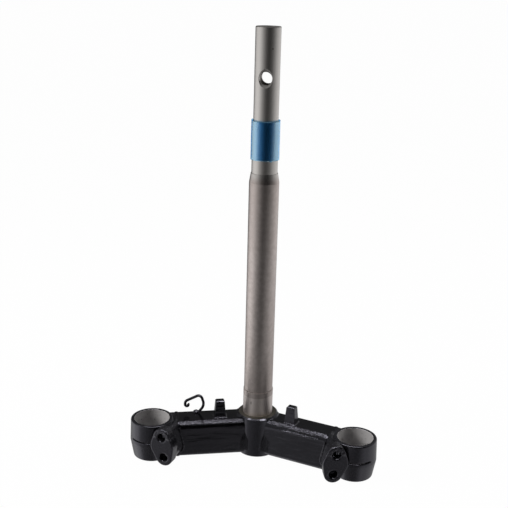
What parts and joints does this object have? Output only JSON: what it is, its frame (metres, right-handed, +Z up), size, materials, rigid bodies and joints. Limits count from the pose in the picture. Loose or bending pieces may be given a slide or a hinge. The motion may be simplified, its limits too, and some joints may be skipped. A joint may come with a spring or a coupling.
{
  "type": "motorcycle triple clamp",
  "caption": "Lower fork bridge with a long steering stem: swept box arms, split fork clamps with pinch ears, steering stops and a wire cable guide.",
  "frame": {"origin": "on the steering axis at the shoulder the lower steering bearing sits on", "axes": "+Z up the steering stem, -Y toward the front of the machine, +X toward the clamp without the cable guide"},
  "size_m": [0.2476, 0.0873, 0.4273],
  "materials": {
    "bare_steel": "turned bare steel, lightly oiled",
    "blue_sleeve": "thin translucent blue plastic",
    "black_paint": "satin black paint over steel",
    "black_weld": "gloss black paint over rippled weld metal"
  },
  "bodies": {
    "root": {"steering_stem": "bare_steel", "thread_protector": "blue_sleeve", "stem_boss": "black_paint", "stem_weld": "black_weld", "cable_guide": "black_paint", "guide_weld": "black_weld", "arm_upper_left": "black_paint", "arm_upper_right": "black_paint", "arm_lower_left": "black_paint", "arm_lower_right": "black_paint", "fork_clamp_left": "black_paint", "fork_clamp_right": "black_paint", "steering_stop_left": "black_paint", "steering_stop_right": "black_paint", "stop_weld_left": "black_weld", "stop_weld_right": "black_weld", "front_seam_weld_left": "black_weld", "front_seam_weld_right": "black_weld", "rear_seam_weld_left": "black_weld", "rear_seam_weld_right": "black_weld", "boss_weld_front_left": "black_weld", "boss_weld_front_right": "black_weld", "boss_weld_rear_left": "black_weld", "boss_weld_rear_right": "black_weld", "boss_weld_top_left": "black_weld", "boss_weld_top_right": "black_weld", "clamp_weld_left": "black_weld", "clamp_weld_right": "black_weld", "lug_weld_left": "black_weld", "lug_weld_right": "black_weld"}
  },
  "joints": []
}
